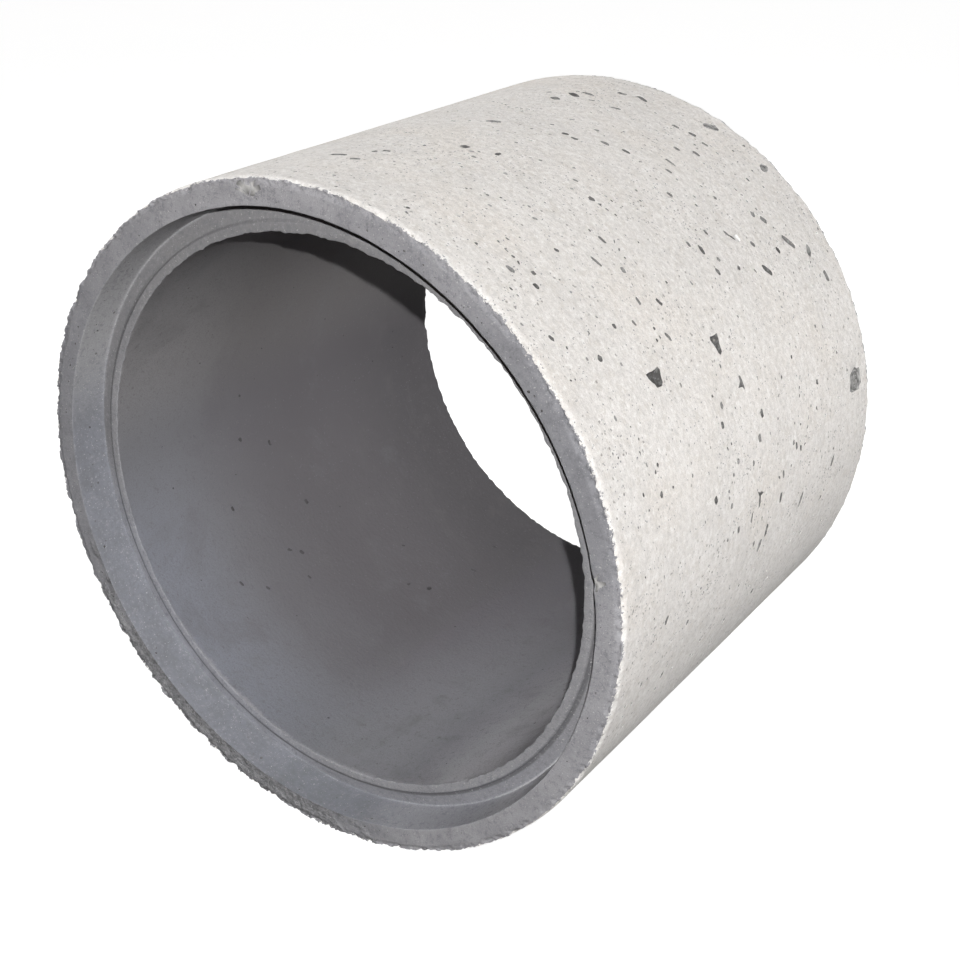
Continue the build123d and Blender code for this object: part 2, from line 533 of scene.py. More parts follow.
# how far the scattered voids stay from the edges of each face
WALL_MARGIN = 0.014
END_MARGIN = 0.01
LIP_MARGIN = 0.02
FACE_MARGINS = (0.008, 0.006)


def all_voids():
    """Every void of the ring, and the scars of its outer wall."""
    rnd = random.Random(SEED)
    scars = [placed(turn, wall_s(distance * MM), length, width, lean, SCAR_DEPTH, SCAR_SIDES, rnd)
             for turn, distance, length, width, lean in WALL_SCARS]
    voids = [v for v in chosen_voids(rnd) if clear_of(scars, v.u, v.s, v.reach)]
    wall = (AT["rim_outer"] + WALL_MARGIN, AT["shoulder"] - WALL_MARGIN)
    strings_of_voids(voids, wall, rnd, scars)
    voids += chosen_pits(rnd)
    far_bore = (AT["bore_end"] + LIP_MARGIN, SECTION.length - END_MARGIN)
    near_bore = (END_MARGIN, AT["lip_edge"] - LIP_MARGIN)
    face = (AT["rim_inner"] + FACE_MARGINS[0], AT["rim_outer"] - ROUGH_WIDTH - FACE_MARGINS[1])
    side = (AT["socket_corner"] + END_MARGIN, AT["rim_inner"] - END_MARGIN)
    # how many, where, their sizes, the points of their outline, what they keep clear of, the palest
    for count, stretch, sizes, sides, around, palest in (
        (MIDDLE_VOIDS, wall, (0.006, 0.013), 9, scars, 0.45),
        (SMALL_VOIDS, wall, (0.0034, 0.008), 6, scars, 0.7),
        (BORE_VOIDS // 2, far_bore, (0.003, 0.007), 6, [], 0.0),
        (BORE_VOIDS // 2, near_bore, (0.003, 0.007), 6, [], 0.0),
        (FACE_VOIDS, face, (0.002, 0.005), 6, [], 0.0),
        (FACE_VOIDS, side, (0.0025, 0.0055), 6, [], 0.0),
    ):
        scattered_voids(voids, count, stretch, sizes, sides, rnd, around, palest)
    return voids, scars


# noise over the surface: how each octave differs from the one before
OCTAVE_SHARE = 0.5
OCTAVE_SCALE = 2.1
OCTAVE_START = 5.3
SEED_SKEW = 2.7


def fbm(u, s, scale, seed, octaves):
    """Smooth noise over the unrolled surface that joins up at the seam."""
    turn = u / UNROLL_RADIUS
    place = Vector((UNROLL_RADIUS * math.sin(turn), UNROLL_RADIUS * math.cos(turn), s)) / scale
    value, size, total = 0.0, 1.0, 0.0
    for k in range(octaves):
        value += size * noise.noise(place + Vector((seed, SEED_SKEW * seed, k * OCTAVE_START)))
        total += size
        size *= OCTAVE_SHARE
        place = place * OCTAVE_SCALE
    return value / total


def waves(u, s, mean, *layers, least=-math.inf):
    """A mean and layers of noise, each given by its share, its size, its seed and its octaves."""
    return mean + sum(share * max(least, fbm(u, s, size, seed, octaves))
                      for share, size, seed, octaves in layers)


# the relief of each surface: how deep it lies on average, and the noises on it
WALL_RELIEF = (0.0006, (0.0009, 0.12, 1.0, 3), (0.0003, 0.03, 2.0, 2))
FACE_RELIEF = (0.0004, (0.0012, 0.02, 4.0, 3))
ROUGH_RELIEF = (0.001, (0.0042, 0.01, 61.0, 2))
BORE_RELIEF = (0.0003, (0.0008, 0.15, 5.0, 3))
JOINT_RELIEF = (0.0003, (0.0006, 0.03, 6.0, 3))
WALL_OVERLAP = 0.02
BORE_OVERLAP = 0.003
# the rough sector, by the cosine of the angle from its middle
ROUGH_NONE = 0.5
ROUGH_FROM = 0.74
ROUGH_FADE = 0.16
ROUGH_RAGGED = (1.5, 0.035, 53.0, 3)
# broken edges: how far each reaches, how deep it goes, and its seed
RIM_LOSS = (RIM_EDGE_REACH, 0.0068, 11.0)
ROUGH_RIM_LOSS = 0.003
EDGE_LOSSES = [
    ("shoulder", 0.01, 0.0056, 17.0), ("bore_end", 0.009, 0.005, 23.0),
    ("spigot_nose", 0.008, 0.0028, 29.0),
]
LOSS_MEAN = 0.38
LOSS_LAYERS = ((0.85, 0.0062, 0.0, 2), (0.75, 0.019, 9.0, 2))
CHIP_SIZE, CHIP_SEED = 0.03, 3.0
CHIP_FROM = 0.1
CHIP_GROWTH = 2.4
# the ragged edge of the lip
BURR_REACH = 0.007
BURR = (0.0, (0.0038, 0.012, 31.0, 2), (0.003, 0.04, 37.0, 2))


def rough_share(u, s):
    """How much of the rough sector of the rim a place is in."""
    towards = math.cos(u / UNROLL_RADIUS - ROUGH_TURN)
    if towards < ROUGH_NONE:
        return 0.0
    return min(1.0, max(0.0, waves(u, s, (towards - ROUGH_FROM) / ROUGH_FADE, ROUGH_RAGGED)))


def edge_loss(u, s, name, reach, depth, seed):
    """How deep the corner is broken back at a place near it."""
    away = abs(s - AT[name])
    if away > reach:
        return 0.0
    window = 1.0 - (away / reach) ** 2
    layers = [(share, size, seed + shift, octaves) for share, size, shift, octaves in LOSS_LAYERS]
    grain = waves(u, s, LOSS_MEAN, *layers)
    chips = CHIP_GROWTH * max(0.0, fbm(u, s, CHIP_SIZE, seed + CHIP_SEED, 2) - CHIP_FROM)
    return depth * window * max(0.0, grain + chips)


def relief(u, s):
    """How far the surface lies below the plain section."""
    if AT["rim_outer"] - WALL_OVERLAP < s < AT["shoulder"] + WALL_OVERLAP:
        depth = waves(u, s, *WALL_RELIEF)
    elif AT["rim_inner"] < s < AT["rim_outer"]:
        depth = waves(u, s, *FACE_RELIEF, least=0.0)
        depth += rough_share(u, s) * waves(u, s, *ROUGH_RELIEF, least=0.0)
    elif s < AT["lip_edge"] - BORE_OVERLAP or s > AT["bore_end"] + BORE_OVERLAP:
        depth = waves(u, s, *BORE_RELIEF)
    else:
        depth = waves(u, s, *JOINT_RELIEF)
    reach, rim_depth, seed = RIM_LOSS
    if abs(s - AT["rim_outer"]) < reach:
        rim_depth += ROUGH_RIM_LOSS * rough_share(u, s)
        depth += edge_loss(u, s, "rim_outer", reach, rim_depth, seed)
    for loss in EDGE_LOSSES:
        depth += edge_loss(u, s, *loss)
    return depth


def lip_burr(u, s):
    """The ragged edge of the lip: how far it leans into the bore."""
    away = abs(s - AT["lip_edge"])
    if away > BURR_REACH:
        return 0.0
    return (1.0 - away / BURR_REACH) * waves(u, 0.0, *BURR)


SEAM_REACH = 1e-6
SAME_POINT = 1e-7
VOID_MARGIN, VOID_MARGIN_SHARE = 0.0008, 1.25


def on_seam(u):
    return np.abs(np.abs(u) - HALF_TURN) < SEAM_REACH


def thin_out(points, voids, scars):
    """Drops the points that a void or a scar takes the place of."""
    keep = np.ones(len(points), bool)
    order = np.argsort(points[:, 1])
    sorted_s = points[order, 1]
    for v in voids + scars:
        reach = v.reach * VOID_MARGIN_SHARE + VOID_MARGIN
        a, b = np.searchsorted(sorted_s, [v.s - reach, v.s + reach])
        near = order[a:b]
        gap = np.hypot(points[near, 0] - v.u, points[near, 1] - v.s)
        keep[near[(gap < reach) & ~on_seam(points[near, 0])]] = False
    return points[keep]


# the rings of points inside a void's outline, as shares of it
VOID_WALL, VOID_WALL_DEPTH = 0.82, 0.75
VOID_FLOOR = 0.42
SIMPLE_SIDES = 6
SCAR_RINGS = (0.93, 0.82, 0.7, 0.58, 0.46, 0.34, 0.22, 0.1)
SCAR_EDGE_TONE = 0.3
SCAR_MEAN, SCAR_SWING, SCAR_NOISE = 0.5, 1.6, (0.008, 41.0, 2)
SCAR_GRIT = 0.0012
SCAR_PALEST, SCAR_MOSTLY_DARK = 0.75, 1.4


def void_points(voids, scars, rnd):
    """Points of every void: u, s, depth, how much of it is bare of skin, and how pale it is."""
    rows = []
    for v in voids:
        rows += [(u, s, 0.0, 0.0, v.tone) for u, s in v.ring(1.0)]
        rows += [(u, s, v.depth * VOID_WALL_DEPTH * v.floor[k], 1.0, v.tone)
                 for k, (u, s) in enumerate(v.ring(VOID_WALL))]
        if v.sides > SIMPLE_SIDES:
            rows += [(u, s, v.depth * v.floor[-k - 1], 1.0, v.tone)
                     for k, (u, s) in enumerate(v.ring(VOID_FLOOR, 2))]
        rows.append((v.u, v.s, v.depth, 1.0, v.tone))
    for v in scars:
        rows += [(u, s, 0.0, 0.0, SCAR_EDGE_TONE) for u, s in v.ring(1.0)]
        for scale in SCAR_RINGS:
            for u, s in v.ring(scale):
                share = SCAR_MEAN + SCAR_SWING * abs(fbm(u, s, *SCAR_NOISE))
                deep = v.depth * share + rnd.uniform(0, SCAR_GRIT)
                rows.append((u, s, deep, 1.0, rnd.uniform(0.0, SCAR_PALEST) ** SCAR_MOSTLY_DARK))
    return np.array(rows)


def unroll_to_ring(u, s, depth, lean_in):
    """Places in the frame of the CAD."""
    radius, along, across, forward = SECTION.at(s)
    radius = radius - depth * across - lean_in
    along = along - depth * forward
    turn = u / UNROLL_RADIUS
    return np.stack([radius * np.sin(turn), RIM_Y + along, AXIS_Z + radius * np.cos(turn)], axis=1)


def closed_triangles(points):
    """Delaunay triangles of the unrolled surface, with both seams joined up."""
    flat = [Vector((float(u), float(s))) for u, s in points]
    verts, _, faces, origin, _, _ = delaunay_2d_cdt(flat, [], [], 0, SAME_POINT, True)
    source = np.array([ids[0] for ids in origin])
    u, s = points[source, 0], points[source, 1]
    first = {}
    target = np.arange(len(verts))
    at_end = s > SECTION.length - SEAM_REACH
    for i in np.nonzero(on_seam(u) | (s < SEAM_REACH) | at_end)[0]:
        key_u = HALF_TURN if on_seam(u[i]) else u[i]
        key_s = 0.0 if at_end[i] else s[i]
        target[i] = first.setdefault((round(float(key_u), 6), round(float(key_s), 6)), i)
    triangles = target[np.array(faces)]
    used = np.unique(triangles)
    renumber = np.zeros(len(verts), int)
    renumber[used] = np.arange(len(used))
    return source[used], renumber[triangles]


SHARP_ANGLE = math.radians(48)


def build_ring():
    """One closed mesh of the whole ring, with the values that its material reads."""
    rng = np.random.RandomState(SEED)
    rnd = random.Random(SEED + 1)
    voids, scars = all_voids()
    base = thin_out(base_points(rng), voids, scars)
    holes = void_points(voids, scars, rnd)
    points = np.concatenate([base, holes[:, :2]])
    hole_depth, bare, tone = np.concatenate([np.zeros((len(base), 3)), holes[:, 2:]]).T
    source, triangles = closed_triangles(points)
    u, s = points[source, 0], points[source, 1]
    depth, lean_in, rough = (
        np.array([value(a, b) for a, b in zip(u, s)]) for value in (relief, lip_burr, rough_share))
    places = unroll_to_ring(u, s, depth + hole_depth[source], lean_in)
    mesh = bpy.data.meshes.new(NODE + "_cast")
    mesh.from_pydata(places.tolist(), [], triangles.tolist())
    mesh.validate()
    # what the material reads: the holes, and how far a place lies inside each part of the section
    for name, values in (
        ("bare", bare[source]),
        ("tone", tone[source]),
        ("rough", rough),
        ("crease", np.abs(s - AT["seat_inner"] - STEP_LINE_SHIFT)),
        ("inward", places[:, 1] - RIM_Y - LIP_DEPTH),
        ("skin", np.minimum(s - AT["rim_outer"], AT["shoulder"] - s)),
        ("bore", np.maximum(AT["lip_edge"] - s, s - AT["bore_end"])),
        ("joint", np.minimum(s - AT["lip_edge"], AT["rim_inner"] - s)),
        ("side", np.minimum(s - AT["socket_corner"], AT["rim_inner"] - s)),
    ):
        layer = mesh.attributes.new(name, "FLOAT", "POINT")
        layer.data.foreach_set("value", values.astype(np.float32))
    mesh.shade_smooth()
    mesh.set_sharp_from_angle(angle=SHARP_ANGLE)
    ring = bpy.data.objects.new("cast_ring", mesh)
    bpy.context.scene.collection.objects.link(ring)
    return ring


# the noises of the concrete: scale, detail, roughness and, for one, distortion
NOISES = {
    "grain": (420.0, 2.0, 0.75),
    "mottle": (105.0, 4.0, 0.74),
    "cloud": (16.0, 5.0, 0.62),
    "skin_edge": (130.0, 4.0, 0.8),
    "skin_edge_sway": (24.0, 2.0, 0.6),
    "skin_cloud": (9.0, 3.0, 0.6),
    "warmth": (4.3, 2.0, 0.5),
    "patches": (52.0, 5.0, 0.72),
    "pale_specks": (300.0, 2.0, 0.7),
    "bore_wobble": (5.0, 2.0, 0.6),
    "stains": (4.5, 5.0, 0.68, 0.6),
    "dustiness": (13.0, 5.0, 0.7),
    "dust_edge": (60.0, 4.0, 0.75),
    "crowding": (8.0, 3.0, 0.65),
    "relief": (110.0, 4.0, 0.65),
}


# sockets of the mix node: its factor and its two colours, and its colour
MIX_INPUTS, MIX_OUTPUT = (0, 6, 7), 2


class Nodes:
    """Adds and links shader nodes. A noise or a layer of the mesh is made once and then shared."""

    def __init__(self, material):
        material.use_nodes = True
        self.tree = material.node_tree
        self.tree.nodes.clear()
        self.made = {}

    def add(self, kind, inputs=None, **settings):
        node = self.tree.nodes.new(kind)
        for name, value in settings.items():
            setattr(node, name, value)
        for name, value in (inputs or {}).items():
            self.feed(node.inputs[name], value)
        return node

    def feed(self, socket, value):
        if isinstance(value, bpy.types.NodeSocket):
            self.tree.links.new(value, socket)
        else:
            socket.default_value = value

    def once(self, key, kind, inputs=None, **settings):
        if key not in self.made:
            self.made[key] = self.add(kind, inputs, **settings)
        return self.made[key].outputs

    def where(self):
        return self.once("where", "ShaderNodeTexCoord")["Object"]

    def place(self, letter):
        return self.once("place", "ShaderNodeSeparateXYZ", {"Vector": self.where()})[letter]

    def layer(self, name):
        return self.once(("layer", name), "ShaderNodeAttribute", attribute_name=name)["Fac"]

    def noise(self, name):
        inputs = {"Vector": self.where(), "Distortion": 0.0}
        inputs.update(zip(("Scale", "Detail", "Roughness", "Distortion"), NOISES[name]))
        return self.once(("noise", name), "ShaderNodeTexNoise", inputs)["Fac"]

    def value(self, name):
        """The height over the ground, one of NOISES, or a layer of the mesh."""
        if name == "height":
            return self.place("Z")
        return self.noise(name) if name in NOISES else self.layer(name)

    def math(self, operation, a, b):
        return self.add("ShaderNodeMath", {0: a, 1: b}, operation=operation).outputs[0]

    def times(self, first, *others):
        for other in others:
            first = self.math("MULTIPLY", first, other)
        return first

    def plus(self, a, b):
        return self.math("ADD", a, b)

    def minus(self, a, b):
        return self.math("SUBTRACT", a, b)

    def step(self, value, low, high, to_low=0.0, to_high=1.0):
        """A smooth step of value between low and high."""
        inputs = {"Value": value, "From Min": low, "From Max": high, "To Min": to_low, "To Max": to_high}
        return self.add("ShaderNodeMapRange", inputs, interpolation_type="SMOOTHSTEP").outputs[0]

    def coats(self, colour, table):
        """The colour with coats of others over it: what each follows, its step and its colour."""
        return self.over(colour, *((self.step(self.value(name), *step), other)
                                   for name, step, other in table))

    def over(self, colour, *layers):
        """The colour with others over it, each given by its share and its colour."""
        for share, other in layers:
            colour = self.mix(share, colour, other)
        return colour

    def mix(self, share, a, b):
        """The colour a, with a share of the colour b over it."""
        node = self.add("ShaderNodeMix", data_type="RGBA")
        for index, value in zip(MIX_INPUTS, (share, a, b)):
            self.feed(node.inputs[index], (*value, 1.0) if isinstance(value, tuple) else value)
        return node.outputs[MIX_OUTPUT]


SKIN_PALE = (0.8, 0.776, 0.752)
SKIN_DULL = (0.6, 0.585, 0.568)
SKIN_WARM = (0.8, 0.75, 0.695)
SKIN_SAND = (0.64, 0.605, 0.56)
SPECK_BROWN = (0.3, 0.285, 0.265)
FRINGE_WHITE = (0.9, 0.89, 0.875)
VOID_DARK = (0.085, 0.083, 0.082)
VOID_PALE = (0.73, 0.725, 0.715)
PIT_DARK = (0.075, 0.073, 0.077)
SCAR_GREY = (0.19, 0.192, 0.188)
ROUGH_GREY = (0.306, 0.308, 0.322)
ROUGH_DARK = (0.186, 0.187, 0.194)
FACE_LOW = (0.302, 0.304, 0.326)
FACE_GREY = (0.405, 0.403, 0.425)
FACE_TOP = (0.43, 0.425, 0.446)
FACE_DARK = (0.215, 0.217, 0.236)
SEAT_GREY = (0.265, 0.262, 0.268)
SEAT_LOW = (0.31, 0.313, 0.34)
SEAT_LOWER_LEFT = (0.44, 0.45, 0.495)
SIDE_GREY = (0.228, 0.238, 0.27)
SIDE_LOW = (0.34, 0.345, 0.374)
SIDE_LOWER_RIGHT = (0.59, 0.592, 0.62)
SIDE_UPPER_LEFT = (0.385, 0.386, 0.398)
SIDE_DARK = (0.165, 0.17, 0.185)
CREASE_DARK = (0.085, 0.085, 0.09)
LIP_PALE = (0.318, 0.319, 0.334)
LIP_LOWER_LEFT = (0.34, 0.35, 0.388)
# bore tones: paler by the mouth, on the bottom and low on either side, darker further in and at the upper
# right, are painted light and shade
BORE_MOUTH = (0.178, 0.181, 0.196)
BORE_DEEP = (0.114, 0.108, 0.117)
BORE_FAR = (0.084, 0.08, 0.086)
BORE_UPPER = (0.156, 0.15, 0.151)
BORE_UPPER_MOUTH = (0.24, 0.236, 0.242)
BORE_PAINTED_SHADOW = (0.078, 0.064, 0.06)
BORE_DUSTY = (0.135, 0.131, 0.136)
BORE_PAINTED_LIGHT_BOTTOM = (0.262, 0.262, 0.286)
BORE_PAINTED_LIGHT_LOWER_RIGHT = (0.58, 0.578, 0.61)
BORE_PAINTED_LIGHT_LOWER_LEFT = (0.196, 0.206, 0.238)


# a smooth step: where it starts and ends, then the values it runs between, unless 0 and 1
SKIN_CLOUDS = (0.35, 0.7, 0.0, 0.3)
SKIN_COATS = [
    ("warmth", (0.48, 0.68, 0.0, 0.45), SKIN_WARM),
    # painted light: the wall whiter towards the ground
    ("height", (0.55, 0.2, 0.0, 0.75), FRINGE_WHITE),
    ("patches", (0.5, 0.66, 0.0, 0.55), SKIN_SAND),
    ("patches", (0.46, 0.32, 0.0, 0.45), FRINGE_WHITE),
    ("mottle", (0.46, 0.66, 0.0, 0.6), SKIN_DULL),
    ("mottle", (0.46, 0.34, 0.0, 0.7), FRINGE_WHITE),
    ("grain", (0.45, 0.75, 0.0, 0.35), SKIN_DULL),
]
CAST_COATS = [
    ("mottle", (0.5, 0.66, 0.0, 0.45), SIDE_DARK),
    ("mottle", (0.46, 0.32, 0.0, 0.35), FACE_GREY),
    ("pale_specks", (0.655, 0.7, 0.0, 0.45), FRINGE_WHITE),
    ("grain", (0.4, 0.75, 0.0, 0.4), FACE_DARK),
]
BORE_COATS = [
    ("stains", (0.52, 0.7, 0.0, 0.3), BORE_DEEP),
    ("stains", (0.44, 0.3, 0.0, 0.25), BORE_MOUTH),
    ("dustiness", (0.5, 0.74, 0.0, 0.3), BORE_DUSTY),
    ("mottle", (0.54, 0.72, 0.0, 0.45), BORE_DEEP),
]
BORE_GRAIN = [("grain", (0.4, 0.75, 0.0, 0.4), BORE_DEEP)]


def skin_colours(n):
    """The pale skin of the outer wall: cloudy, grainy and a little warm in places, and whiter low down as
    painted light.
    """
    return n.coats(n.mix(n.step(n.noise("skin_cloud"), *SKIN_CLOUDS), SKIN_PALE, SKIN_DULL), SKIN_COATS)


# slopes of the lines that part the sectors of the ring, seen along its axis
STEEP = 1.5
TOP_SLOPE = 0.1
FLOOR_SLOPE = 0.6


def sectors(n):
    """How far a place lies in each sector of the ring, such as the lower left, seen from the front.

    Each is given by where it begins and where it is full, in metres from the axis or the ground."""
    across = n.place("X")
    up = n.minus(n.place("Z"), AXIS_Z)
    rising, falling = n.plus(up, across), n.minus(up, across)
    steep = n.minus(up, n.times(across, STEEP))
    return {
        "lower_left": n.step(rising, -0.5, -0.7),
        "lower_right": n.step(steep, -0.67, -0.88),
        "side_low": n.step(steep, -0.62, -0.8),
        "side_right": n.times(n.step(rising, -0.17, 0.05), n.step(across, 0.05, 0.25)),
        "upper_left": n.step(falling, 0.58, 0.76),
        "upper_bore": n.step(falling, 0.47, 0.66),
        "upper_right": n.step(rising, 0.36, 0.56),
        "top": n.step(n.minus(up, n.times(across, TOP_SLOPE)), 0.25, 0.62),
        "bottom": n.step(n.minus(n.place("Z"), n.times(across, FLOOR_SLOPE)), 0.24, 0.0),
    }


# steps and shares of the cast faces and of the joint
CLOUD = (0.35, 0.68)
FACE_CLOUD, SEAT_CLOUD, SIDE_CLOUD = 0.4, 0.25, 0.55
ROUGH = (0.2, 0.8)
ROUGH_MOTTLE = (0.42, 0.62)
SEAT_HEIGHT = (0.62, 0.18)
LIP_END = (0.019, 0.015)
LIP_HEIGHT = (1.0, 0.7)
LIP_SHARE = 0.8
CREASE_WIDENING = 0.0032
CREASE_WIDTH = (0.0062, 0.0022)
CREASE_HEIGHT = (1.05, 0.85, 0.0, 0.72)
INTO_JOINT = (-0.001, 0.001)
INTO_SIDE = (-0.004, 0.001)


def cast_colours(n, cloud, sector):
    """The grey of the cast faces, the lip, the seat and the socket's side."""
    height, joint_in = n.place("Z"), n.layer("joint")
    rough_tone = n.mix(n.step(n.noise("mottle"), *ROUGH_MOTTLE), ROUGH_GREY, ROUGH_DARK)
    # painted light and shade: the face paler at the top and on the lower right than elsewhere, by how the
    # light falls
    face = n.over(
        FACE_LOW, (sector["top"], FACE_TOP), (sector["lower_right"], FACE_GREY),
        (n.times(cloud, FACE_CLOUD), FACE_DARK), (n.step(n.layer("rough"), *ROUGH), rough_tone))
    # painted light: the lip's band paler on all but the top of the ring, and bluer at the lower left
    lip = n.times(n.step(joint_in, *LIP_END), n.step(height, *LIP_HEIGHT))
    # painted light: the seat paler low down, and paler and bluer at the lower left
    seat = n.over(
        SEAT_GREY, (n.step(height, *SEAT_HEIGHT), SEAT_LOW), (sector["lower_left"], SEAT_LOWER_LEFT),
        (n.times(lip, LIP_SHARE), n.mix(sector["lower_left"], LIP_PALE, LIP_LOWER_LEFT)),
        (n.times(cloud, SEAT_CLOUD), FACE_DARK))
    # painted light: the socket's side paler low down, on the lower right and at the upper left
    side = n.over(
        SIDE_GREY, (n.times(cloud, SIDE_CLOUD), SIDE_DARK), (sector["side_low"], SIDE_LOW),
        (sector["side_right"], SIDE_LOWER_RIGHT), (sector["upper_left"], SIDE_UPPER_LEFT))
    # the shadow line beside the step, wider where the lip's edge stands before it
    line = n.minus(n.layer("crease"), n.times(sector["lower_left"], CREASE_WIDENING))
    crease = n.times(n.step(line, *CREASE_WIDTH), n.step(height, *CREASE_HEIGHT))
    socket = n.over(seat, (n.step(n.layer("side"), *INTO_SIDE), side), (crease, CREASE_DARK))
    return n.coats(n.mix(n.step(joint_in, *INTO_JOINT), face, socket), CAST_COATS)


# steps of the bore, most of them along its length from the lip
WOBBLE = 0.14
DEEP = (0.04, 0.56)
FAR = (0.55, 0.92)
UPPER = (0.05, 0.38)
# where the painted shadow of the lip darkens the bore's upper right
PAINTED_SHADOW_STEP = (0.6, 0.2, 0.0, 0.85)
BOTTOM = (0.75, 0.25, 0.4, 1.0)
LOWER_RIGHT = (0.7, 0.1, 0.15, 1.0)
BY_MOUTH = (0.45, 0.3)
LOWER_LEFT = (0.26, 0.0)
DUST_SWAY, DUST_REACH = 0.034, 0.012
DUST_EDGE = (0.004, -0.004, 0.0, 0.7)
DUST_HEIGHT = (0.32, 0.14)


def bore_colours(n, sector):
    """The bore: paler by the mouth and along its bottom, and darker and browner further in, as painted
    light and shade.
    """
    inward, bore_in, bottom = n.layer("inward"), n.layer("bore"), sector["bottom"]
    by_mouth = n.step(inward, *BY_MOUTH)
    deep = n.plus(inward, n.times(n.noise("bore_wobble"), WOBBLE))
    # painted shade: the bore darker further in
    colour = n.mix(n.step(deep, *DEEP), BORE_MOUTH, BORE_DEEP)
    # painted light: the upper bore paler by the mouth
    upper = n.mix(n.step(inward, *UPPER), BORE_UPPER_MOUTH, BORE_UPPER)
    # painted light: the lower left of the bore by the mouth made paler and bluer, as if lit from the
    # opening
    near = n.times(sector["lower_left"], by_mouth, n.step(bore_in, *LOWER_LEFT))
    # painted light: the bore's lower right by the mouth made paler, for light that the lamps don't bring
    # there
    right = n.times(sector["lower_right"], n.step(inward, *LOWER_RIGHT), bottom)
    colour = n.over(
        # painted shade: darkest towards the far end
        colour, (n.step(inward, *FAR), BORE_FAR), (sector["upper_bore"], upper),
        # painted shadow: the lip's shadow over the upper right of the bore, further in
        (n.times(sector["upper_right"], n.step(inward, *PAINTED_SHADOW_STEP)), BORE_PAINTED_SHADOW),
        # painted light: the bottom of the bore paler, most of all by the mouth
        (n.times(bottom, n.step(inward, *BOTTOM)), BORE_PAINTED_LIGHT_BOTTOM),
        (right, BORE_PAINTED_LIGHT_LOWER_RIGHT), (near, BORE_PAINTED_LIGHT_LOWER_LEFT))
    colour = n.coats(colour, BORE_COATS)
    # pale dust on the first part of the bottom, thinning out along a ragged line
    ragged = n.minus(n.times(n.noise("dust_edge"), DUST_SWAY), DUST_REACH)
    dust = n.times(n.step(n.minus(bore_in, ragged), *DUST_EDGE), by_mouth,
                   n.step(n.place("Z"), *DUST_HEIGHT))
    return n.coats(n.mix(dust, colour, LIP_PALE), BORE_GRAIN)


# the end of the pale skin, holes and pits, and the relief that is finer than the mesh
SKIN_EDGE, SKIN_EDGE_SWAY, SKIN_INSET = 0.046, 0.014, 0.027
INTO_SKIN = (-0.0008, 0.0008)
FRINGE = (0.012, 0.001)
FRINGE_CLOUD = (0.1, 0.7, 0.85, 0.35)
INTO_BORE = (0.0, 0.0015)
BARE = (0.02, 0.22)
BARE_MOTTLE = (0.45, 0.65)
WARP_SCALE, WARP_DETAIL, WARP = 300.0, 1.0, (0.005, 0.005, 0.005)
# pores too small to model, dark partly as painted shade in them: cells a metre, outline, how many cells
# have one, the share of colour off and on the skin, and the colour
SKIN_PORES = (105.0, (0.3, 0.16), (0.4, 0.68, 0.02, 0.24), (0.0, 0.8), SPECK_BROWN)
FINE_PORES = (220.0, (0.34, 0.2), (0.38, 0.7, 0.05, 0.26), (0.28, 0.85), FACE_DARK)
GRAIN_RELIEF = 0.0006
RELIEF_SKIN = (-0.002, 0.002, 0.0007, 0.002)
RELIEF_ROUGH = (*ROUGH, 0.0, 0.0055)
RELIEF_FACE = (0.0, -0.002)
RELIEF_BORE = (*INTO_BORE, 1.0, 0.4)
BUMP_STRENGTH = 0.9
ROUGHNESS = (0.2, 0.8, 0.82, 0.97)
SPECULAR = 0.25


def pores(n, warped, skin, colour, kind):
    """The colour with small dark pores of one kind over it, dark partly as painted shade."""
    scale, outline, how_many, shares, dark = kind
    cells = n.add("ShaderNodeTexVoronoi", {"Vector": warped, "Scale": scale, "Randomness": 1.0}).outputs
    lot = n.add("ShaderNodeSeparateColor", {"Color": cells["Color"]}).outputs[0]
    chosen = n.math("LESS_THAN", lot, n.step(n.noise("crowding"), *how_many))
    pore = n.times(n.step(cells["Distance"], *outline), chosen)
    return n.mix(n.times(pore, n.step(skin, 0.0, 1.0, *shares)), colour, dark)


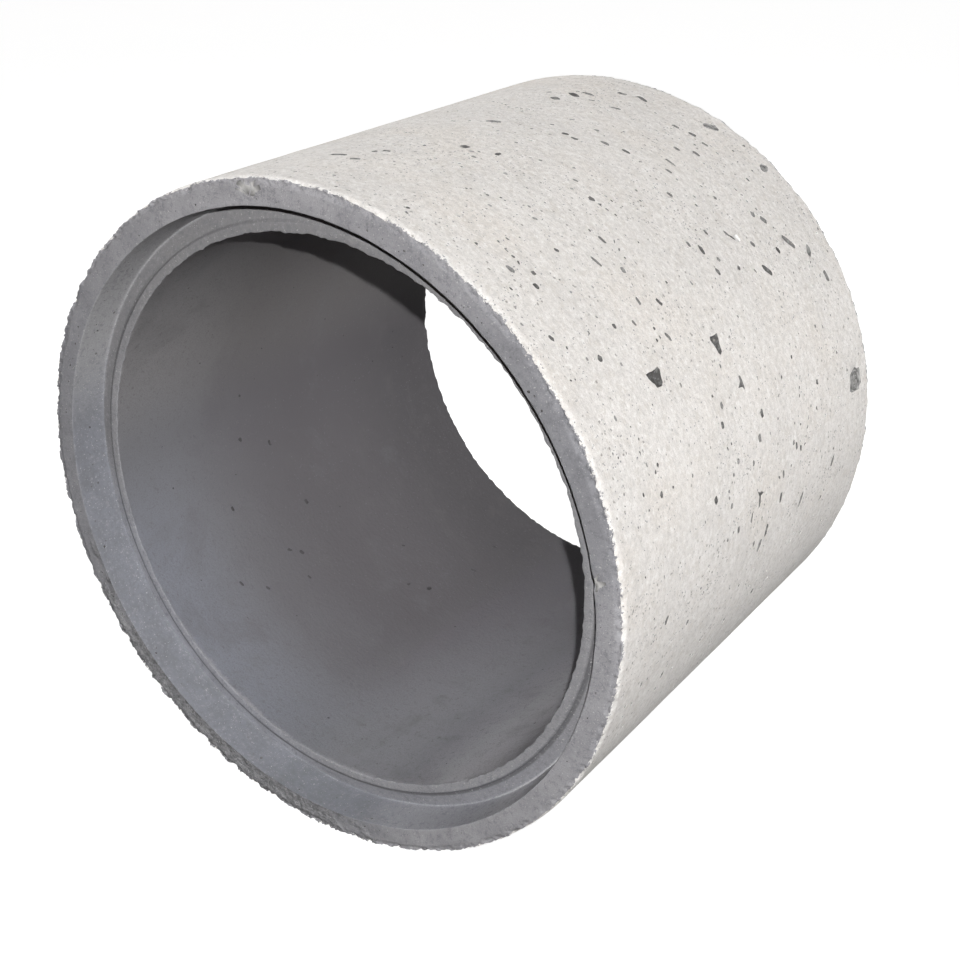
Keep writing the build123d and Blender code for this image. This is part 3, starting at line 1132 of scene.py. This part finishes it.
def concrete_material():
    material = bpy.data.materials.new("cast_concrete")
    n = Nodes(material)
    skin_in, bore_in, grain = n.layer("skin"), n.layer("bore"), n.noise("grain")
    cloud = n.step(n.noise("cloud"), *CLOUD)
    sector = sectors(n)
    # the pale skin stops short of the edges along a ragged line, with a whiter fringe
    sway = n.times(n.noise("skin_edge_sway"), SKIN_EDGE_SWAY)
    ragged = n.plus(n.times(n.noise("skin_edge"), SKIN_EDGE), sway)
    beyond = n.minus(skin_in, n.minus(ragged, SKIN_INSET))
    skin = n.step(beyond, *INTO_SKIN)
    fringe = n.times(n.step(beyond, *FRINGE), n.step(cloud, *FRINGE_CLOUD))
    into_bore = n.step(bore_in, *INTO_BORE)
    # the holes are dark partly from the grey concrete bared in them and partly as painted shade in their
    # hollows
    hole_colour = n.over(
        VOID_DARK, (n.step(n.noise("mottle"), *BARE_MOTTLE), SCAR_GREY),
        (n.layer("tone"), VOID_PALE), (into_bore, PIT_DARK))
    colour = n.over(
        cast_colours(n, cloud, sector), (into_bore, bore_colours(n, sector)),
        (skin, n.mix(fringe, skin_colours(n), FRINGE_WHITE)),
        (n.step(n.layer("bare"), *BARE), hole_colour))
    warp = n.add("ShaderNodeTexNoise", {"Vector": n.where(), "Scale": WARP_SCALE, "Detail": WARP_DETAIL})
    warped = n.add("ShaderNodeVectorMath", {0: warp.outputs["Color"], 1: WARP, 2: n.where()},
                   operation="MULTIPLY_ADD").outputs[0]
    for kind in (SKIN_PORES, FINE_PORES):
        colour = pores(n, warped, skin, colour, kind)
    depth = n.times(n.step(n.layer("rough"), *RELIEF_ROUGH), n.step(n.layer("joint"), *RELIEF_FACE))
    depth = n.plus(n.step(skin_in, *RELIEF_SKIN), depth)
    height = n.plus(n.times(grain, GRAIN_RELIEF), n.times(n.noise("relief"), depth))
    height = n.times(height, n.step(bore_in, *RELIEF_BORE))
    bump = n.add("ShaderNodeBump", {"Height": height, "Distance": 1.0, "Strength": BUMP_STRENGTH})
    shader = n.add("ShaderNodeBsdfPrincipled", {
        "Base Color": colour, "Roughness": n.step(grain, *ROUGHNESS),
        "Specular IOR Level": SPECULAR, "Normal": bump.outputs[0]})
    n.add("ShaderNodeOutputMaterial", {"Surface": shader.outputs[0]})
    return material


# the photograph's camera and its light, found from the ring's edges and the lip's shadow
CAMERA_PLACE = (1.496, -2.205, 1.785)
CAMERA_AIM = (-0.5065, 0.7443, -0.4352)
CAMERA_LENS = 57.1
CAMERA_SENSOR = 36.0
CAMERA_CLIP = (0.05, 200.0)
KEY_PLACE = (1.608, -2.304, 1.983)
KEY_SIZE = 0.03
KEY_POWER = 12.0
KEY_COLOUR = (1.0, 0.99, 0.98)
# soft fills that don't shine in at the ring's mouth: three level with its length, one behind
# it and above, and one on its axis, for the end that faces away
FILLS = [
    ("top_fill", (-2.0, 0.05, 3.6), 0.9, 64.0),
    ("right_fill", (3.2, 0.05, 0.35), 0.9, 32.0),
    ("left_fill", (-3.2, 0.05, 1.4), 0.9, 22.0),
    ("back_fill", (1.9, 3.6, 2.6), 2.0, 36.0),
    ("rear_fill", (0.0, 5.0, 0.6), 1.0, 48.0),
]
WORLD_STRENGTH = 0.036
WORLD_COLOUR = (1.0, 0.84, 0.76, 1.0)
PAPER_GREY = (0.22, 0.22, 0.22, 1.0)
PAPER_ROUGHNESS, PAPER_GLOSS, PAPER_GLOW = 0.9, 0.1, 0.94
RING_CENTRE = Vector((0.0, 0.0, OUTER_RADIUS))
STAGE_REACH = 30.0
# the round wall behind
WALL_REACH = 0.95 * STAGE_REACH
WALL_HEIGHTS = (-0.1, 0.9 * STAGE_REACH)
WALL_SIDES = 64


def aim(obj, place, towards):
    """Puts a camera or a light at a place, looking along a direction."""
    obj.location = place
    obj.rotation_mode = "QUATERNION"
    obj.rotation_quaternion = Vector(towards).to_track_quat("-Z", "Y")
    bpy.context.scene.collection.objects.link(obj)


def make_camera():
    data = bpy.data.cameras.new("camera")
    data.lens = CAMERA_LENS
    data.sensor_width = CAMERA_SENSOR
    data.clip_start, data.clip_end = CAMERA_CLIP
    camera = bpy.data.objects.new("camera", data)
    aim(camera, CAMERA_PLACE, CAMERA_AIM)
    bpy.context.scene.camera = camera


def area_light(name, place, size, power, colour=(1.0, 1.0, 1.0)):
    """A soft round light that looks at the middle of the ring."""
    data = bpy.data.lights.new(name, "AREA")
    data.shape = "DISK"
    data.size = size
    data.energy = power
    data.color = colour
    light = bpy.data.objects.new(name, data)
    aim(light, place, RING_CENTRE - Vector(place))
    return light


def even_out(light):
    """Keeps a near light as strong on the far end of the ring as on the near end."""
    light.data.use_nodes = True
    tree = light.data.node_tree
    falloff = tree.nodes.new("ShaderNodeLightFalloff")
    falloff.inputs["Strength"].default_value = 1.0
    tree.links.new(falloff.outputs["Constant"], tree.nodes["Emission"].inputs["Strength"])


def make_lights():
    even_out(area_light("key", KEY_PLACE, KEY_SIZE, KEY_POWER, KEY_COLOUR))
    for fill in FILLS:
        area_light(*fill).visible_camera = False
    world = bpy.data.worlds.new("studio")
    world.use_nodes = True
    background = world.node_tree.nodes["Background"]
    background.inputs["Color"].default_value = WORLD_COLOUR
    background.inputs["Strength"].default_value = WORLD_STRENGTH
    bpy.context.scene.world = world
    bpy.context.scene.view_settings.view_transform = "Standard"
    bpy.context.scene.view_settings.look = "None"


def stage_material():
    material = bpy.data.materials.new("studio_paper")
    n = Nodes(material)
    shader = n.add("ShaderNodeBsdfPrincipled", {
        "Base Color": PAPER_GREY, "Roughness": PAPER_ROUGHNESS, "Specular IOR Level": PAPER_GLOSS,
        "Emission Color": (1.0, 1.0, 1.0, 1.0), "Emission Strength": PAPER_GLOW})
    n.add("ShaderNodeOutputMaterial", {"Surface": shader.outputs[0]})
    return material


def stage_piece(name, verts, faces, material):
    mesh = bpy.data.meshes.new(name)
    mesh.from_pydata(verts, [], faces)
    mesh.materials.append(material)
    piece = bpy.data.objects.new(name, mesh)
    bpy.context.scene.collection.objects.link(piece)
    piece.visible_diffuse = False
    piece.visible_glossy = False
    return piece


def make_floor():
    material = stage_material()
    corners = [(x * STAGE_REACH, y * STAGE_REACH, 0.0) for x, y in ((-1, -1), (1, -1), (1, 1), (-1, 1))]
    stage_piece("floor", corners, [(0, 1, 2, 3)], material)
    # a round wall far off, so that a low view has the same pale ground behind the ring
    turns = [math.tau * k / WALL_SIDES for k in range(WALL_SIDES)]
    wall = [(math.cos(t) * WALL_REACH, math.sin(t) * WALL_REACH, z) for z in WALL_HEIGHTS for t in turns]
    around = [(k, (k + 1) % WALL_SIDES) for k in range(WALL_SIDES)]
    faces = [(a, b, WALL_SIDES + b, WALL_SIDES + a) for a, b in around]
    backdrop = stage_piece("backdrop", wall, faces, material)
    backdrop.visible_shadow = False


make_camera()
make_lights()
make_floor()
ring = build_ring()
ring.data.materials.append(concrete_material())
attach(ring, "root")
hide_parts(NODE)

print("ring:", len(ring.data.polygons), "triangles")
